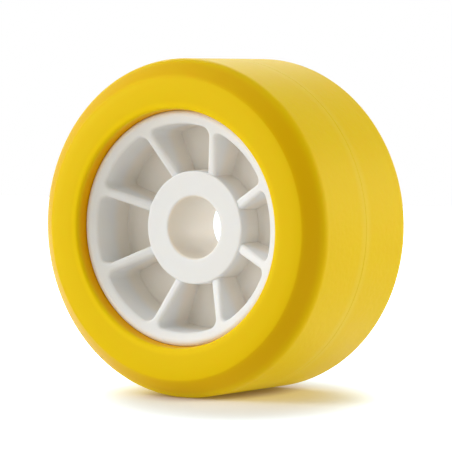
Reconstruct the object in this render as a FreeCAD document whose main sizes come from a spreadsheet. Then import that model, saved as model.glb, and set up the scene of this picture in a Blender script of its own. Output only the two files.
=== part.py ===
# Boat trailer roller: a soft solid tyre moulded round a one-piece spoked plastic hub.
# Millimetres and degrees. The axle runs along Z, the roller stands on its flat end,
# and the origin is on the axle, half way across the tyre. The front end looks up +Z.
import FreeCAD
import Part
import math
import os

import Sketcher

SHEET = "Sizes"

SIZES = (
    # Tyre
    ("tyre_diameter", 120.0),
    ("tyre_width", 64.5),
    ("end_flat_width", 3.0),
    ("end_curve_radius", 21.0),
    ("bevel_length", 6.4),
    ("bevel_depth", 6.5),
    ("bevel_curve_radius", 30.0),
    ("tread_edge_rounding", 4.0),
    ("end_edge_rounding", 1.2),
    ("lip_flare", 0.5),
    ("lip_rounding", 1.2),
    ("parting_line_width", 0.4),
    ("parting_line_depth", 0.12),
    # Hub barrel, which the tyre grips
    ("hub_diameter", 83.5),
    ("hub_recess", 4.45),
    ("hub_edge_rounding", 1.7),
    ("barrel_wall", 4.75),
    ("rim_land", 2.2),
    ("dish_blend", 1.2),
    # Boss and bore
    ("bore_diameter", 22.0),
    ("bore_mouth_rounding", 1.0),
    ("boss_diameter", 40.4),
    ("boss_front", 19.2),
    ("boss_back", 10.3),
    ("boss_edge_rounding", 0.6),
    ("boss_step", 0.7),
    # Spokes, web and the pockets between them
    ("spoke_count", 8),
    ("spoke_thickness", 3.0),
    ("spoke_root_depth", 3.0),
    ("web_front", 8.4),
    ("web_thickness", 5.0),
    ("wall_draft", 2.0),
    ("pocket_corner", 2.3),
    ("pocket_floor_rounding", 0.5),
    ("pocket_mouth_rounding", 1.3),
)

# Two places closer than this are the same one
NEAR = 1e-4


def make_sheet(doc):
    """Write the driving sizes into a sheet, one named cell each."""
    sheet = doc.addObject("Spreadsheet::Sheet", SHEET)
    for row, (name, value) in enumerate(SIZES, start=1):
        sheet.set(f"A{row}", name)
        sheet.set(f"B{row}", str(value))
        sheet.setAlias(f"B{row}", name)
    doc.recompute()
    return sheet


def origin_plane(body, role):
    """Find one of the body's own origin planes."""
    return next(item for item in body.Origin.OriginFeatures if item.Role == role)


def new_sketch(body, name, role, height=None):
    """Start a sketch on one of the body's origin planes, raised by a height if one is given."""
    sketch = body.newObject("Sketcher::SketchObject", name)
    sketch.AttachmentSupport = (origin_plane(body, role), [""])
    sketch.MapMode = "FlatFace"
    if height:
        sketch.setExpression("AttachmentOffset.Base.z", height)
    return sketch


def value_of(sketch, expression):
    """Work out what an expression on the sheet is worth now."""
    worth = sketch.evalExpression(expression)
    return float(getattr(worth, "Value", worth))


def tie(sketch, kind, place, expression):
    """Add a dimension to a sketch and bind it to the sheet."""
    index = sketch.addConstraint(Sketcher.Constraint(kind, *place, value_of(sketch, expression)))
    sketch.setExpression(f"Constraints[{index}]", expression)


def tie_corner(sketch, edge, expression_x, expression_y):
    """Hold an edge's start at its distances from the sketch's origin."""
    for kind, axis, expression in (("DistanceX", -2, expression_x), ("DistanceY", -1, expression_y)):
        if expression == "0":
            sketch.addConstraint(Sketcher.Constraint("PointOnObject", edge, 1, axis))
        elif value_of(sketch, expression) < 0:
            tie(sketch, kind, (edge, 1, -1, 1), f"-({expression})")
        else:
            tie(sketch, kind, (-1, 1, edge, 1), expression)


def bulged_edge(start, end, radius):
    """Make an arc of a given radius from start to end that bulges to the right of its run."""
    chord = end - start
    inward = FreeCAD.Vector(-chord.y, chord.x, 0).normalize()
    centre = (start + end) / 2 + inward * math.sqrt(radius ** 2 - chord.Length ** 2 / 4)
    first = math.atan2(start.y - centre.y, start.x - centre.x)
    last = math.atan2(end.y - centre.y, end.x - centre.x)
    return Part.ArcOfCircle(Part.Circle(centre, FreeCAD.Vector(0, 0, 1), radius), first, last)


def outline(sketch, corners, arcs=None):
    """Draw a closed outline, anticlockwise, with every corner held by the sheet.

    A corner is a pair of expressions. An edge named in arcs by the number of its first
    corner is an arc, given by the expression for its radius.
    """
    arcs = arcs or {}
    points = [FreeCAD.Vector(value_of(sketch, x), value_of(sketch, y), 0) for x, y in corners]
    count = len(points)
    for edge, start in enumerate(points):
        end = points[(edge + 1) % count]
        if edge in arcs:
            sketch.addGeometry(bulged_edge(start, end, value_of(sketch, arcs[edge])))
        else:
            sketch.addGeometry(Part.LineSegment(start, end))
    for edge in range(count):
        sketch.addConstraint(Sketcher.Constraint("Coincident", edge, 2, (edge + 1) % count, 1))
    for edge, (x, y) in enumerate(corners):
        tie_corner(sketch, edge, x, y)
    for edge, radius in arcs.items():
        tie(sketch, "Radius", (edge,), radius)


def revolve(body, name, sketch):
    """Turn a section about the axle into a solid."""
    turned = body.newObject("PartDesign::Revolution", name)
    turned.Profile = sketch
    turned.ReferenceAxis = (sketch, ["V_Axis"])
    turned.Angle = 360
    body.Document.recompute()
    return turned


def round_edges(body, name, wanted, radius):
    """Round every edge of the body that the test wants, by a radius from the sheet."""
    base = body.Tip
    edges = [f"Edge{index}" for index, edge in enumerate(base.Shape.Edges, start=1) if wanted(edge)]
    if not edges:
        raise RuntimeError(f"{name} finds no edge to round")
    fillet = body.newObject("PartDesign::Fillet", name)
    fillet.Base = (base, edges)
    fillet.setExpression("Radius", f"{SHEET}.{radius}")
    body.Document.recompute()
    return fillet


def ring_at(places):
    """Make a test for whole circles about the axle, given as pairs of radius and height."""
    def wanted(edge):
        curve = edge.Curve
        if not isinstance(curve, Part.Circle):
            return False
        return any(
            abs(curve.Radius - radius) < NEAR and abs(curve.Center.z - height) < NEAR
            for radius, height in places
        )
    return wanted


def slopes_beside(shape, edge):
    """List how much the faces beside an edge look along the axle, least first: 0 is a wall."""
    middle = edge.valueAt((edge.FirstParameter + edge.LastParameter) / 2)
    found = []
    for face in shape.ancestorsOfType(edge, Part.Face):
        u, v = face.Surface.parameter(middle)
        found.append(abs(face.normalAt(u, v).z))
    return sorted(found)


def lies_at(edge, height):
    """Say whether both ends of an edge are at a height along the axle."""
    return all(abs(vertex.Point.z - height) < NEAR for vertex in edge.Vertexes)


def build_tyre(doc):
    """The soft tyre: straight tread, bevelled edges, and ends that are flat in their middle."""
    body = doc.addObject("PartDesign::Body", "tyre")
    body.Label = "tyre"
    section = new_sketch(body, "tyre_section", "XZ_Plane")

    tread = "Sizes.tyre_diameter / 2"
    seat = "Sizes.hub_diameter / 2"
    end = "Sizes.tyre_width / 2"
    tread_end = f"{end} - Sizes.bevel_length"
    bevel_top = f"{tread} - Sizes.bevel_depth"
    lip = f"{seat} + Sizes.lip_flare"
    curved = f"(({bevel_top}) - ({lip}) - Sizes.end_flat_width) / 2"
    flat_outer = f"{bevel_top} - {curved}"
    flat_inner = f"{lip} + {curved}"
    drop = f"(Sizes.end_curve_radius - sqrt(Sizes.end_curve_radius ^ 2 - ({curved}) ^ 2))"

    upper = [
        (tread, "Sizes.parting_line_width / 2"),
        (tread, tread_end),
        (bevel_top, f"{end} - {drop}"),
        (flat_outer, end),
        (flat_inner, end),
        (lip, f"{end} - {drop}"),
        (seat, f"{end} - Sizes.hub_recess"),
    ]
    lower = [(x, f"-({y})") for x, y in reversed(upper)]
    groove = [(f"{tread} - Sizes.parting_line_depth", "0")]
    bevel = "Sizes.bevel_curve_radius"
    end_curve = "Sizes.end_curve_radius"
    arcs = {1: end_curve, 3: end_curve, 4: bevel, 9: bevel, 10: end_curve, 12: end_curve}
    outline(section, lower + groove + upper, arcs)
    revolve(body, "tyre_ring", section)

    def both_ends(corner):
        radius, height = (value_of(section, expression) for expression in corner)
        return ring_at([(radius, height), (radius, -height)])

    _, tread_corner, bevel_corner, _, _, lip_corner, _ = upper
    round_edges(body, "tread_edges", both_ends(tread_corner), "tread_edge_rounding")
    round_edges(body, "end_edges", both_ends(bevel_corner), "end_edge_rounding")
    round_edges(body, "lips", both_ends(lip_corner), "lip_rounding")
    return body


def mirrored(point):
    """Mirror a sketch point across the sketch's horizontal axis."""
    return FreeCAD.Vector(point.x, -point.y, 0)


def pocket_sketch(body, name, height):
    """Draw one pocket between two spokes: sides along the spokes, outer corners rounded."""
    sketch = new_sketch(body, name, "XY_Plane", height)
    outer = "Sizes.hub_diameter / 2 - Sizes.barrel_wall"
    inner = "Sizes.boss_diameter / 2 - Sizes.spoke_root_depth - 1"
    half_pitch = math.pi / value_of(sketch, "Sizes.spoke_count")
    half_spoke = value_of(sketch, "Sizes.spoke_thickness / 2")
    corner = value_of(sketch, "Sizes.pocket_corner")
    outer_radius = value_of(sketch, outer)
    inner_radius = value_of(sketch, inner)

    along = FreeCAD.Vector(math.cos(half_pitch), math.sin(half_pitch), 0)
    across = FreeCAD.Vector(math.sin(half_pitch), -math.cos(half_pitch), 0)
    inner_reach = math.sqrt(inner_radius ** 2 - half_spoke ** 2)
    inner_end = along * inner_reach + across * half_spoke
    outer_reach = math.sqrt((outer_radius - corner) ** 2 - (half_spoke + corner) ** 2)
    side_end = along * outer_reach + across * half_spoke
    corner_centre = along * outer_reach + across * (half_spoke + corner)
    corner_end = corner_centre * (outer_radius / (outer_radius - corner))

    up = FreeCAD.Vector(0, 0, 1)
    zero = FreeCAD.Vector(0, 0, 0)
    outer_turn = math.atan2(corner_end.y, corner_end.x)
    inner_turn = math.atan2(inner_end.y, inner_end.x)
    corner_first = math.atan2(corner_end.y - corner_centre.y, corner_end.x - corner_centre.x)
    corner_last = half_pitch + math.pi / 2

    arc_outer = sketch.addGeometry(
        Part.ArcOfCircle(Part.Circle(zero, up, outer_radius), -outer_turn, outer_turn))
    arc_corner_high = sketch.addGeometry(
        Part.ArcOfCircle(Part.Circle(corner_centre, up, corner), corner_first, corner_last))
    side_high = sketch.addGeometry(Part.LineSegment(side_end, inner_end))
    arc_inner = sketch.addGeometry(
        Part.ArcOfCircle(Part.Circle(zero, up, inner_radius), -inner_turn, inner_turn))
    side_low = sketch.addGeometry(Part.LineSegment(mirrored(inner_end), mirrored(side_end)))
    arc_corner_low = sketch.addGeometry(
        Part.ArcOfCircle(Part.Circle(mirrored(corner_centre), up, corner), -corner_last, -corner_first))

    joins = (
        ("Tangent", arc_outer, 2, arc_corner_high, 1),
        ("Tangent", arc_corner_high, 2, side_high, 1),
        ("Coincident", side_high, 2, arc_inner, 2),
        ("Coincident", arc_inner, 1, side_low, 1),
        ("Tangent", side_low, 2, arc_corner_low, 1),
        ("Tangent", arc_corner_low, 2, arc_outer, 1),
        ("Coincident", arc_outer, 3, -1, 1),
        ("Coincident", arc_inner, 3, -1, 1),
    )
    for kind, *place in joins:
        sketch.addConstraint(Sketcher.Constraint(kind, *place))
    tie(sketch, "Radius", (arc_outer,), outer)
    tie(sketch, "Radius", (arc_inner,), inner)
    for corner_arc in (arc_corner_high, arc_corner_low):
        tie(sketch, "Radius", (corner_arc,), "Sizes.pocket_corner")
    for side in (side_high, side_low):
        tie(sketch, "Distance", (-1, 1, side), "Sizes.spoke_thickness / 2")
    return sketch


def cut_pockets(body, name, height, depth, reverse):
    """Cut one drafted pocket and repeat it round the axle, once for each gap between spokes."""
    before = body.Tip.Shape.Volume
    sketch = pocket_sketch(body, f"{name}_outline", height)
    pocket = body.newObject("PartDesign::Pocket", name)
    pocket.Profile = sketch
    pocket.Reversed = reverse
    pocket.setExpression("Length", depth)
    pocket.setExpression("TaperAngle", "-Sizes.wall_draft")
    body.Document.recompute()
    if pocket.Shape.Volume > before - 1:
        raise RuntimeError(f"{name} cuts nothing")
    pattern = body.newObject("PartDesign::PolarPattern", f"{name}s_round_axle")
    pattern.Originals = [pocket]
    pattern.Axis = (origin_plane(body, "Z_Axis"), [""])
    pattern.Angle = 360
    pattern.setExpression("Occurrences", "Sizes.spoke_count")
    body.Tip = pattern
    body.Document.recompute()
    return pattern


def round_pockets(body, size):
    """Round the pockets' mouths along the spokes and the barrel, then their floors."""
    steepest = 2 * math.sin(math.radians(size["wall_draft"]))
    past_boss = size["boss_diameter"] / 2 + size["boss_step"]
    levels = (size["web_front"], size["web_front"] - size["web_thickness"])
    hub = body.Tip.Shape

    def is_floor(edge):
        return any(lies_at(edge, level) for level in levels)

    def is_mouth(edge):
        middle = edge.valueAt((edge.FirstParameter + edge.LastParameter) / 2)
        if is_floor(edge) or math.hypot(middle.x, middle.y) < past_boss:
            return False
        slopes = slopes_beside(hub, edge)
        return len(slopes) == 2 and slopes[0] < steepest < slopes[1]

    round_edges(body, "pocket_mouths", is_mouth, "pocket_mouth_rounding")
    round_edges(body, "pocket_floors", is_floor, "pocket_floor_rounding")


def build_hub(doc, size):
    """The moulded hub: barrel, web, eight dished spokes a side, boss and plain bore."""
    body = doc.addObject("PartDesign::Body", "hub")
    body.Label = "hub"

    # Ring from inside the boss to the tyre, its ends dished along the edges of the spokes
    root = "Sizes.boss_diameter / 2 - Sizes.spoke_root_depth"
    boss = "Sizes.boss_diameter / 2"
    seat = "Sizes.hub_diameter / 2"
    dish = f"{seat} - Sizes.rim_land"
    front_step = "Sizes.boss_front - Sizes.boss_step"
    back_step = "-(Sizes.boss_back - Sizes.boss_step)"
    front_rim = "Sizes.tyre_width / 2 - Sizes.hub_recess"
    back_rim = f"-({front_rim})"
    ring = new_sketch(body, "ring_section", "XZ_Plane")
    outline(ring, [
        (root, back_step),
        (boss, back_step),
        (dish, back_rim),
        (seat, back_rim),
        (seat, front_rim),
        (dish, front_rim),
        (boss, front_step),
        (root, front_step),
    ])
    revolve(body, "ring", ring)

    seat_radius = size["hub_diameter"] / 2
    dish_radius = seat_radius - size["rim_land"]
    rim_height = size["tyre_width"] / 2 - size["hub_recess"]
    rim_edges = [(seat_radius, side * rim_height) for side in (1, -1)]
    dish_edges = [(dish_radius, side * rim_height) for side in (1, -1)]
    round_edges(body, "hub_edges", ring_at(rim_edges), "hub_edge_rounding")
    round_edges(body, "dish_blends", ring_at(dish_edges), "dish_blend")

    # Pockets from both ends, down to the web
    cut_pockets(body, "front_pocket", front_rim, f"{front_rim} - Sizes.web_front", False)
    back_depth = f"{front_rim} + Sizes.web_front - Sizes.web_thickness"
    cut_pockets(body, "back_pocket", back_rim, back_depth, True)

    # Boss, drafted from the middle of the web to both ends
    bore = "Sizes.bore_diameter / 2"
    web_middle = "Sizes.web_front - Sizes.web_thickness / 2"
    thick = (
        "Sizes.boss_diameter / 2"
        " + tan(Sizes.wall_draft * 1 deg) * (Sizes.boss_front - Sizes.web_front)"
    )
    boss_section = new_sketch(body, "boss_section", "XZ_Plane")
    outline(boss_section, [
        (bore, "-(Sizes.boss_back)"),
        (boss, "-(Sizes.boss_back)"),
        (thick, web_middle),
        (boss, "Sizes.boss_front"),
        (bore, "Sizes.boss_front"),
    ])
    revolve(body, "boss", boss_section)

    round_pockets(body, size)

    bore_radius = size["bore_diameter"] / 2
    boss_radius = size["boss_diameter"] / 2
    ends = (size["boss_front"], -size["boss_back"])
    boss_rings = ring_at([(boss_radius, end) for end in ends])
    bore_rings = ring_at([(bore_radius, end) for end in ends])
    round_edges(body, "boss_edges", boss_rings, "boss_edge_rounding")
    round_edges(body, "bore_mouths", bore_rings, "bore_mouth_rounding")
    return body


def check(doc, bodies):
    """Stop if any object failed or any piece is not one sound solid."""
    for item in doc.Objects:
        if "Invalid" in item.State or "Error" in item.State:
            raise RuntimeError(f"{item.Name} failed: {item.State}")
    for body in bodies:
        shape = body.Shape
        if shape.isNull() or not shape.isValid() or len(shape.Solids) != 1:
            raise RuntimeError(f"{body.Label} is not one sound solid")


def main():
    os.makedirs("parts", exist_ok=True)
    doc = FreeCAD.newDocument("trailer_roller")
    sheet = make_sheet(doc)
    size = {name: float(sheet.get(name)) for name, _ in SIZES}
    bodies = [build_hub(doc, size), build_tyre(doc)]
    doc.recompute()
    check(doc, bodies)
    for body in bodies:
        body.Shape.exportStep(f"parts/{body.Label}.step")
        print(body.Label, "faces", len(body.Shape.Faces), "volume", round(body.Shape.Volume, 1))


main()
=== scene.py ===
# Looks for the boat trailer roller: a yellow moulded tyre on a white spoked hub.
# Lengths are in metres. The axle runs along Z, and the front end looks up +Z.
import math

import bpy
from mathutils import Matrix, Vector


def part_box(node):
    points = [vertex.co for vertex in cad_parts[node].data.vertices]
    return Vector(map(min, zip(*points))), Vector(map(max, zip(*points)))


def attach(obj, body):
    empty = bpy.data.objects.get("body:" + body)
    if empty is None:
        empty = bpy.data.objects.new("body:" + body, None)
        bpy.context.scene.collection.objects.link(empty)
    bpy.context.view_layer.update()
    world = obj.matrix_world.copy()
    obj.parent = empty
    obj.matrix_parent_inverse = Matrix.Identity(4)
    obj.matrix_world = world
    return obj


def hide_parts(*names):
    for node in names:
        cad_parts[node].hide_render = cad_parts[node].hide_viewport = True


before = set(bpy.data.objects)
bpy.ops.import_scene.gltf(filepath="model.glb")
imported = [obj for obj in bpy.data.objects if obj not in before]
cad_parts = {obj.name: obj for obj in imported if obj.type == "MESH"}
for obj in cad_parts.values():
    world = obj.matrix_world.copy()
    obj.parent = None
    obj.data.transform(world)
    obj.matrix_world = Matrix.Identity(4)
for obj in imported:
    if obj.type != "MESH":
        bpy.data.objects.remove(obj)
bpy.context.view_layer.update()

MM = 0.001

# Tyre section, the same sizes as the solid's
HUB_RADIUS = 41.75 * MM
HUB_RECESS = 4.45 * MM
END_FLAT = 3.0 * MM
END_CURVE_RADIUS = 21.0 * MM
BEVEL_LENGTH = 6.4 * MM
BEVEL_DEPTH = 6.5 * MM
BEVEL_CURVE_RADIUS = 30.0 * MM
TREAD_EDGE_ROUNDING = 4.0 * MM
END_EDGE_ROUNDING = 1.2 * MM
LIP_FLARE = 0.5 * MM
LIP_ROUNDING = 1.2 * MM
PARTING_WIDTH = 0.4 * MM
PARTING_DEPTH = 0.12 * MM

# How finely the tyre is turned, and the turn of its skin that still shades as smooth
TURN_STEPS = 360
SECTION_STEP = 0.8 * MM
ROUNDING_STEPS = 8
SMOOTH_ANGLE = math.radians(24)

# Middle of the web that closes the hub's pockets, along the axle
WEB_MIDDLE = 5.9 * MM

# Where a painted shade, a painted light or a texture starts and where it is full, in distance from
# the axle
TREAD_RAMP = (57.5 * MM, 59.6 * MM)
BEVEL_SHADE_RAMP = (52.5 * MM, 55.0 * MM)
EDGE_LIGHT_RAMP = (45.2 * MM, 43.6 * MM)
LIP_RAMP = (45.0 * MM, 43.0 * MM)
BORE_RAMP = (11.8 * MM, 11.1 * MM)

# The same along the axle, from the tyre's middle or, for the pockets, from the web's
LIP_DEPTH_RAMP = (32.0 * MM, 29.0 * MM)
SEAM_RAMP = (4.5 * MM, 1.0 * MM)
POCKET_RAMP = (13.0 * MM, 7.0 * MM)

# Colours: red, green and blue in linear light, and alpha
TYRE_DEEP = (0.84, 0.59, 0.0, 1)
TYRE_BRIGHT = (0.88, 0.63, 0.0, 1)
# Painted shade: a deeper orange on the bevel, where the face turns down to the tread
TYRE_BEVEL_PAINTED_SHADE = (0.805, 0.50, 0.0, 1)
# Painted sheen: a paler, mottled band along the tread's parting line
TYRE_SEAM_SHEEN = (0.88, 0.66, 0.05, 1)
# Painted light: a brighter yellow on the face's inner curve, toward the hub
TYRE_EDGE_PAINTED_LIGHT = (0.91, 0.66, 0.0, 1)
# Painted shade: a deep orange down the lip, into the recess round the hub
TYRE_LIP_PAINTED_SHADE = (0.90, 0.46, 0.0, 1)
TYRE_SHEEN = (1.0, 0.9, 0.6, 1)
HUB_DEEP = (0.84, 0.87, 0.92, 1)
HUB_BRIGHT = (0.875, 0.905, 0.95, 1)
# Painted shade: a warmer grey down in the hub's pockets and bore
HUB_POCKET_PAINTED_SHADE = (0.90, 0.865, 0.81, 1)
AMBIENT = (0.290, 0.272, 0.215, 1)
WHITE = (1, 1, 1, 1)

# Skin of the tyre: noise scales per metre, depths of relief, and ranges of tone and roughness
TYRE_CLOUD_SCALE = 28.0
GRAIN_SCALE = 950.0
GRAIN_DEPTH = 0.02 * MM
PEBBLE_SCALE = 520.0
PEBBLE_DEPTH = 0.1 * MM
PEBBLE_OFF_TREAD = 0.1
PEBBLE_ADDED_ON_TREAD = 0.9
TYRE_MOTTLE = (0.15, 0.85)
# Range of the painted sheen along the parting line
SEAM_SHEEN_MOTTLE = (0.0, 0.8)
# Share of the bevel's painted shade that also goes on the tread
BEVEL_SHADE_ON_TREAD = 0.15
TYRE_ROUGHNESS = (0.40, 0.48)
ROUGHNESS_ADDED_ON_TREAD = 0.04

# Skin of the hub
HUB_CLOUD_SCALE = 45.0
SKIN_SCALE = 1400.0
SKIN_DEPTH = 0.01 * MM
RIPPLE_SCALE = 160.0
RIPPLE_DEPTH = 0.04 * MM
HUB_ROUGHNESS = (0.38, 0.50)

# The photograph was taken with the roller on its tread, turned by this much about its axle
PHOTO_TURN = math.radians(-2.5)

# Camera, in the photograph's own frame: yaw from the axle to the right, and height
CAMERA_YAW = math.radians(33.98)
CAMERA_RISE = math.radians(2.60)
CAMERA_DISTANCE = 1.1291
CAMERA_AIM = (0.86 * MM, -0.14 * MM, 0.0)
CAMERA_LENS = 250.0
SENSOR_WIDTH = 36.0

# The floor: half its width, and the light it gives the roller
FLOOR_REACH = 1.5
FLOOR_BOUNCE = (0.68, 0.625, 0.55, 1)

# Where the tread touches the floor: how far that reaches across the axle and along it, the share
# of the floor's light that is left there, and the painted shadow that the camera sees there
CONTACT_REACH = (0.026, 0.046)
CONTACT_LIGHT = 0.5
CONTACT_PAINTED_SHADOW = (0.58, 0.47, 0.60, 1)

# The floor's shadow fades into a white glow over an oval: its middle and its reach, across and
# along the view, and the part of its squared reach where the fade starts
SHADOW_MIDDLE = (0.004, 0.022)
SHADOW_REACH = (0.070, 0.122)
SHADOW_CORE = 0.08
GLOW_COLOUR = (0.70, 0.88, 1.0, 1)
GLOW_STRENGTH = 1.45

# Soft boxes: name, place in the photograph's frame, width, height, power in watts
SOFT_BOXES = (
    ("left_front", (-0.85, 0.15, 0.75), 0.6, 0.7, 4.6),
    ("left_top", (-0.6, 0.7, 0.6), 0.6, 0.6, 3.15),
    ("low_front", (-0.3, 0.1, 1.1), 0.8, 0.3, 1.7),
    ("top", (0.0, 1.05, 0.2), 0.6, 0.6, 1.05),
    ("right", (1.1, 0.15, 0.1), 0.5, 0.7, 0.5),
    ("right_rear", (1.0, 0.2, -0.4), 0.6, 0.8, 2.45),
    ("far_right_rear", (0.8, 0.25, -0.75), 0.6, 0.8, 4.1),
    ("left_rear", (-0.5, 0.7, -0.7), 0.6, 0.6, 2.7),
)


def in_photo(right, up, front):
    """Turn a place in the photograph's frame into one in the row frame."""
    return Matrix.Rotation(PHOTO_TURN, 4, "Z") @ Vector((right, up, front))


# Tyre

def run_points(start, end, radius=None):
    """Points from start to end, on a line or on an arc that bulges to the right of the run."""
    chord = end - start
    steps = max(2, math.ceil(chord.length / SECTION_STEP))
    if radius is None:
        return [start.lerp(end, index / steps) for index in range(steps + 1)]
    inward = Vector((-chord.y, chord.x)).normalized()
    centre = (start + end) / 2 + inward * math.sqrt(radius ** 2 - chord.length ** 2 / 4)
    first = math.atan2(start.y - centre.y, start.x - centre.x)
    last = math.atan2(end.y - centre.y, end.x - centre.x)
    turns = [first + (last - first) * index / steps for index in range(steps + 1)]
    return [centre + Vector((math.cos(turn), math.sin(turn))) * radius for turn in turns]


def shortened(points, length):
    """Take a length off the end of a row of points. Gives the rest and its last direction."""
    kept = list(points)
    while len(kept) > 2 and (kept[-1] - kept[-2]).length <= length:
        length -= (kept[-1] - kept[-2]).length
        kept.pop()
    along = (kept[-1] - kept[-2]).normalized()
    kept[-1] = kept[-1] - along * length
    return kept, along


def round_corner(before, after, radius):
    """Join two runs that meet at a corner by a rounding of that radius."""
    into = (before[-1] - before[-2]).normalized()
    out = (after[1] - after[0]).normalized()
    cut = radius * math.tan(into.angle(out) / 2)
    before, into = shortened(before, cut)
    after, back = shortened(after[::-1], cut)
    after = after[::-1]
    handle = 4 / 3 * math.tan(into.angle(-back) / 4) * radius
    p0, p3 = before[-1], after[0]
    p1, p2 = p0 + into * handle, p3 + back * handle
    joint = []
    for index in range(1, ROUNDING_STEPS):
        t = index / ROUNDING_STEPS
        u = 1 - t
        joint.append(p0 * u ** 3 + p1 * 3 * u * u * t + p2 * 3 * u * t * t + p3 * t ** 3)
    return before, joint, after


def tyre_section():
    """The tyre's section as radius and height, from the parting line up to the hub."""
    low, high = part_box("tyre")
    tread = (high.x - low.x) / 2
    end = high.z
    bevel_top = tread - BEVEL_DEPTH
    lip = HUB_RADIUS + LIP_FLARE
    curved = (bevel_top - lip - END_FLAT) / 2
    drop = END_CURVE_RADIUS - math.sqrt(END_CURVE_RADIUS ** 2 - curved ** 2)
    parting = Vector((tread - PARTING_DEPTH, 0))
    tread_middle = Vector((tread, PARTING_WIDTH / 2))
    tread_end = Vector((tread, end - BEVEL_LENGTH))
    bevel_end = Vector((bevel_top, end - drop))
    flat_outer = Vector((bevel_top - curved, end))
    flat_inner = Vector((lip + curved, end))
    lip_edge = Vector((lip, end - drop))
    seat = Vector((HUB_RADIUS, end - HUB_RECESS))

    runs = [
        run_points(tread_middle, tread_end),
        run_points(tread_end, bevel_end, BEVEL_CURVE_RADIUS),
        run_points(bevel_end, flat_outer, END_CURVE_RADIUS),
        run_points(flat_outer, flat_inner),
        run_points(flat_inner, lip_edge, END_CURVE_RADIUS),
        run_points(lip_edge, seat),
    ]
    roundings = [TREAD_EDGE_ROUNDING, END_EDGE_ROUNDING, None, None, LIP_ROUNDING]
    points = [parting]
    current = runs[0]
    for following, radius in zip(runs[1:], roundings):
        if radius is None:
            points += current[:-1]
            current = following
        else:
            before, joint, current = round_corner(current, following, radius)
            points += before + joint
    return points + current


def lathe(name, section):
    """Turn a closed section about the axle into a smooth ring."""
    count = len(section)
    vertices = []
    for step in range(TURN_STEPS):
        turn = math.tau * step / TURN_STEPS
        for point in section:
            vertices.append((point.x * math.cos(turn), point.x * math.sin(turn), point.y))
    faces = []
    for step in range(TURN_STEPS):
        this = step * count
        following = (step + 1) % TURN_STEPS * count
        for index in range(count):
            other = (index + 1) % count
            faces.append((this + index, following + index, following + other, this + other))
    mesh = bpy.data.meshes.new(name)
    mesh.from_pydata(vertices, [], faces)
    mesh.polygons.foreach_set("use_smooth", [True] * len(mesh.polygons))
    mesh.set_sharp_from_angle(angle=SMOOTH_ANGLE)
    ring = bpy.data.objects.new(name, mesh)
    bpy.context.scene.collection.objects.link(ring)
    return ring


def build_tyre():
    """Turn the section and its mirror image, and show the ring in place of the solid."""
    upper = tyre_section()
    lower = [Vector((point.x, -point.y)) for point in upper[:0:-1]]
    tyre = lathe("tyre_moulding", lower + upper)
    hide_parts("tyre")
    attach(tyre, "root")
    return tyre


# Materials

class Nodes:
    """A short way to add nodes to a node tree."""

    def __init__(self, tree):
        self.tree = tree
        tree.nodes.clear()

    def put(self, socket, value):
        """Link a socket to another one, or set its value."""
        if isinstance(value, bpy.types.NodeSocket):
            self.tree.links.new(value, socket)
        else:
            socket.default_value = value

    def add(self, kind, inputs=None, **settings):
        node = self.tree.nodes.new(kind)
        for key, value in settings.items():
            setattr(node, key, value)
        for key, value in (inputs or {}).items():
            self.put(node.inputs[key], value)
        return node

    def math(self, operation, *values):
        return self.add("ShaderNodeMath", dict(enumerate(values)), operation=operation).outputs[0]

    def about_axle(self, where):
        """Give a place's distance from the axle, and how far along the axle it lies."""
        split = self.add("ShaderNodeSeparateXYZ", {"Vector": where})
        flat = self.add("ShaderNodeVectorMath", {0: where, 1: (1, 1, 0)}, operation="MULTIPLY")
        length = self.add("ShaderNodeVectorMath", {0: flat.outputs["Vector"]}, operation="LENGTH")
        return length.outputs["Value"], split.outputs["Z"]

    def oval(self, where, axes, middle, reach):
        """Give the squared distance from an oval's middle. It is 1 on the oval."""
        squares = []
        for axis, centre, half in zip(axes, middle, reach):
            inputs = {0: where, 1: axis / half}
            along = self.add("ShaderNodeVectorMath", inputs, operation="DOT_PRODUCT")
            offset = self.math("SUBTRACT", along.outputs["Value"], centre / half)
            squares.append(self.math("MULTIPLY", offset, offset))
        return self.math("ADD", *squares)

    def noise(self, where, scale, detail, roughness=0.5):
        node = self.add("ShaderNodeTexNoise", {
            "Vector": where, "Scale": scale, "Detail": detail, "Roughness": roughness,
        })
        return node.outputs["Fac"]

    def spread(self, value, low, high):
        """Map a 0 to 1 value to the range from low to high."""
        node = self.add("ShaderNodeMapRange", {"Value": value, "To Min": low, "To Max": high})
        return node.outputs["Result"]

    def ramp(self, value, start, end):
        """Go smoothly from 0 at start to 1 at end."""
        inputs = {"Value": value, "From Min": start, "From Max": end}
        node = self.add("ShaderNodeMapRange", inputs, interpolation_type="SMOOTHSTEP")
        return node.outputs["Result"]

    def blend(self, factor, first, second):
        """Blend two colours."""
        node = self.add("ShaderNodeMix", {"Factor": factor}, data_type="RGBA")
        sockets = [socket for socket in node.inputs if socket.type == "RGBA"]
        self.put(sockets[0], first)
        self.put(sockets[1], second)
        return next(socket for socket in node.outputs if socket.type == "RGBA")

    def bump(self, height, distance, strength, normal=None):
        inputs = {"Height": height, "Distance": distance, "Strength": strength}
        if normal is not None:
            inputs["Normal"] = normal
        return self.add("ShaderNodeBump", inputs).outputs["Normal"]

    def mix(self, factor, first, second):
        """Mix two shaders."""
        return self.add("ShaderNodeMixShader", {0: factor, 1: first, 2: second}).outputs[0]

    def in_sight(self):
        """Give 1 for what the camera sees, in a reflection or through glass too, and else 0."""
        path = self.add("ShaderNodeLightPath")
        seen = self.math("MAXIMUM", path.outputs["Is Camera Ray"], path.outputs["Is Glossy Ray"])
        return self.math("MAXIMUM", seen, path.outputs["Is Transmission Ray"])


def new_material(name):
    """Make a material. Gives it with its nodes and the place on the object."""
    material = bpy.data.materials.new(name)
    material.use_nodes = True
    nodes = Nodes(material.node_tree)
    where = nodes.add("ShaderNodeTexCoord").outputs["Object"]
    return material, nodes, where


def give(piece, material):
    """Put one material on a piece, in place of any it had."""
    piece.data.materials.clear()
    piece.data.materials.append(material)


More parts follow.
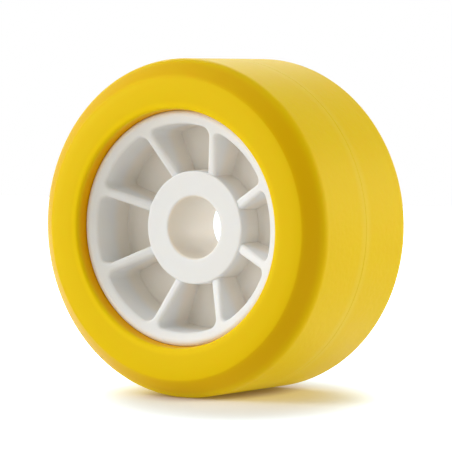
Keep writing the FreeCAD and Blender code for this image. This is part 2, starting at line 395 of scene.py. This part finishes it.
def tyre_material():
    """Satin cast elastomer: a little translucent, finely pebbled on the tread."""
    material, nodes, where = new_material("yellow_elastomer")
    radius, height = nodes.about_axle(where)
    from_middle = nodes.math("ABSOLUTE", height)
    on_tread = nodes.ramp(radius, *TREAD_RAMP)
    bevel_shade_mask = nodes.math("SUBTRACT", nodes.ramp(radius, *BEVEL_SHADE_RAMP), on_tread)
    edge_light_mask = nodes.ramp(radius, *EDGE_LIGHT_RAMP)
    lip_depth = nodes.ramp(from_middle, *LIP_DEPTH_RAMP)
    lip_shade_mask = nodes.math("MULTIPLY", lip_depth, nodes.ramp(radius, *LIP_RAMP))

    cloud = nodes.noise(where, TYRE_CLOUD_SCALE, detail=3.0)
    grain = nodes.noise(where, GRAIN_SCALE, detail=1.0)
    pebble = nodes.noise(where, PEBBLE_SCALE, detail=2.0, roughness=0.45)

    # Painted shade: the bevel, and a little of the tread, get a deeper orange
    painted_bevel_shade = nodes.math("MULTIPLY_ADD", on_tread, BEVEL_SHADE_ON_TREAD, bevel_shade_mask)
    # Painted sheen: the tread turns paler in clouds near its parting line
    near_seam = nodes.ramp(from_middle, *SEAM_RAMP)
    seam_sheen = nodes.math("MULTIPLY", near_seam, nodes.spread(cloud, *SEAM_SHEEN_MOTTLE))
    tone = nodes.blend(nodes.spread(cloud, *TYRE_MOTTLE), TYRE_DEEP, TYRE_BRIGHT)
    tone = nodes.blend(painted_bevel_shade, tone, TYRE_BEVEL_PAINTED_SHADE)
    tone = nodes.blend(nodes.math("MULTIPLY", seam_sheen, on_tread), tone, TYRE_SEAM_SHEEN)
    # Painted light: the face's inner curve turns brighter
    tone = nodes.blend(edge_light_mask, tone, TYRE_EDGE_PAINTED_LIGHT)
    # Painted shade: the lip goes deep orange as it runs down into the recess
    tone = nodes.blend(lip_shade_mask, tone, TYRE_LIP_PAINTED_SHADE)

    rougher = nodes.math("MULTIPLY", on_tread, ROUGHNESS_ADDED_ON_TREAD)
    relief = nodes.math("MULTIPLY_ADD", on_tread, PEBBLE_ADDED_ON_TREAD, PEBBLE_OFF_TREAD)
    fine = nodes.bump(grain, GRAIN_DEPTH, strength=0.6)
    shader = nodes.add("ShaderNodeBsdfPrincipled", {
        "Base Color": tone,
        "Roughness": nodes.math("ADD", nodes.spread(cloud, *TYRE_ROUGHNESS), rougher),
        "Normal": nodes.bump(pebble, PEBBLE_DEPTH, strength=relief, normal=fine),
        "Subsurface Weight": 0.5,
        "Subsurface Radius": (1.0, 0.6, 0.2),
        "Subsurface Scale": 1.2 * MM,
        "Specular IOR Level": 0.12,
        "Specular Tint": TYRE_SHEEN,
        "IOR": 1.5,
    })
    nodes.add("ShaderNodeOutputMaterial", {"Surface": shader.outputs["BSDF"]})
    return material


def hub_material():
    """White moulded plastic with a satin skin, with a painted warm shade down in its pockets and
    bore.
    """
    material, nodes, where = new_material("white_moulded_plastic")
    radius, height = nodes.about_axle(where)
    # Painted shade: warmer toward the web down in the pockets, and in the bore
    from_web = nodes.math("ABSOLUTE", nodes.math("SUBTRACT", height, WEB_MIDDLE))
    pocket_shade_mask = nodes.ramp(from_web, *POCKET_RAMP)
    painted_depth_shade = nodes.math("MAXIMUM", pocket_shade_mask, nodes.ramp(radius, *BORE_RAMP))

    cloud = nodes.noise(where, HUB_CLOUD_SCALE, detail=3.0)
    skin = nodes.noise(where, SKIN_SCALE, detail=2.0)
    ripple = nodes.noise(where, RIPPLE_SCALE, detail=2.0)

    fine = nodes.bump(skin, SKIN_DEPTH, strength=0.5)
    shader = nodes.add("ShaderNodeBsdfPrincipled", {
        "Base Color": nodes.blend(painted_depth_shade, nodes.blend(cloud, HUB_DEEP, HUB_BRIGHT), HUB_POCKET_PAINTED_SHADE),
        "Roughness": nodes.spread(cloud, *HUB_ROUGHNESS),
        "Normal": nodes.bump(ripple, RIPPLE_DEPTH, strength=0.35, normal=fine),
        "Subsurface Weight": 0.7,
        "Subsurface Radius": (1.0, 0.9, 0.8),
        "Subsurface Scale": 2.5 * MM,
        "Specular IOR Level": 0.4,
        "IOR": 1.5,
    })
    nodes.add("ShaderNodeOutputMaterial", {"Surface": shader.outputs["BSDF"]})
    return material


# Stage, lights and camera

def build_floor():
    """A white floor under the tread, clear from below.

    The camera sees the roller's shadow on it, darkened by a painted shadow where the tread
    touches. The roller itself gets an even light from it.
    """
    drop = -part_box("tyre")[1].x
    corners = (
        in_photo(-FLOOR_REACH, drop, -FLOOR_REACH),
        in_photo(-FLOOR_REACH, drop, FLOOR_REACH),
        in_photo(FLOOR_REACH, drop, FLOOR_REACH),
        in_photo(FLOOR_REACH, drop, -FLOOR_REACH),
    )
    mesh = bpy.data.meshes.new("floor")
    mesh.from_pydata(corners, [], [(0, 1, 2, 3)])
    floor = bpy.data.objects.new("floor", mesh)
    bpy.context.scene.collection.objects.link(floor)

    material, nodes, where = new_material("floor_white")
    tread_axes = in_photo(1, 0, 0), in_photo(0, 0, 1)
    contact = nodes.oval(where, tread_axes, (0.0, 0.0), CONTACT_REACH)
    open_floor = nodes.ramp(contact, 0.0, 1.0)
    view_axes = (
        in_photo(math.cos(CAMERA_YAW), 0, -math.sin(CAMERA_YAW)),
        in_photo(math.sin(CAMERA_YAW), 0, math.cos(CAMERA_YAW)),
    )
    shadow = nodes.oval(where, view_axes, SHADOW_MIDDLE, SHADOW_REACH)
    faded = nodes.ramp(shadow, SHADOW_CORE, 1.0)

    # Painted shadow: the floor's colour darkens where the tread touches it
    matt = nodes.add("ShaderNodeBsdfDiffuse", {
        "Color": nodes.blend(open_floor, CONTACT_PAINTED_SHADOW, WHITE),
    })
    glow = nodes.add("ShaderNodeEmission", {
        "Color": GLOW_COLOUR,
        "Strength": nodes.math("MULTIPLY", faded, GLOW_STRENGTH),
    })
    bounce = nodes.add("ShaderNodeEmission", {
        "Color": FLOOR_BOUNCE,
        "Strength": nodes.spread(open_floor, CONTACT_LIGHT, 1.0),
    })
    shown = nodes.add("ShaderNodeAddShader", {0: matt.outputs[0], 1: glow.outputs[0]})
    top = nodes.mix(nodes.in_sight(), bounce.outputs[0], shown.outputs[0])
    clear = nodes.add("ShaderNodeBsdfTransparent")
    below = nodes.add("ShaderNodeNewGeometry").outputs["Backfacing"]
    both = nodes.mix(below, top, clear.outputs[0])
    nodes.add("ShaderNodeOutputMaterial", {"Surface": both})
    give(floor, material)


def build_world():
    """White all round to the camera and in reflections, and a dimmer plain light on the object."""
    world = bpy.data.worlds.new("studio")
    bpy.context.scene.world = world
    world.use_nodes = True
    nodes = Nodes(world.node_tree)
    soft = nodes.add("ShaderNodeBackground", {"Color": AMBIENT, "Strength": 1.0})
    white = nodes.add("ShaderNodeBackground", {"Color": WHITE, "Strength": 1.0})
    both = nodes.mix(nodes.in_sight(), soft.outputs[0], white.outputs[0])
    nodes.add("ShaderNodeOutputWorld", {"Surface": both})


def build_lights():
    """Soft boxes that face the roller and don't show to the camera."""
    for name, place, width, height, power in SOFT_BOXES:
        light = bpy.data.lights.new(name, "AREA")
        light.shape = "RECTANGLE"
        light.size = width
        light.size_y = height
        light.energy = power
        lamp = bpy.data.objects.new(name, light)
        lamp.location = in_photo(*place)
        lamp.rotation_euler = lamp.location.to_track_quat("Z", "Y").to_euler()
        lamp.visible_camera = False
        bpy.context.scene.collection.objects.link(lamp)


def build_camera():
    """A long lens on the photograph's side of the roller."""
    up = in_photo(0, 1, 0)
    aim = in_photo(*CAMERA_AIM)
    flat = math.cos(CAMERA_RISE)
    place = CAMERA_DISTANCE * in_photo(
        flat * math.sin(CAMERA_YAW), math.sin(CAMERA_RISE), flat * math.cos(CAMERA_YAW))
    back = (place - aim).normalized()
    right = up.cross(back).normalized()
    above = back.cross(right)
    data = bpy.data.cameras.new("camera")
    data.lens = CAMERA_LENS
    data.sensor_width = SENSOR_WIDTH
    data.clip_start = 0.01
    data.clip_end = 20.0
    camera = bpy.data.objects.new("camera", data)
    camera.matrix_world = Matrix((
        (right.x, above.x, back.x, place.x),
        (right.y, above.y, back.y, place.y),
        (right.z, above.z, back.z, place.z),
        (0, 0, 0, 1),
    ))
    bpy.context.scene.collection.objects.link(camera)
    bpy.context.scene.camera = camera


bpy.context.scene.view_settings.view_transform = "Standard"

give(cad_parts["hub"], hub_material())
give(build_tyre(), tyre_material())
build_floor()
build_world()
build_lights()
build_camera()
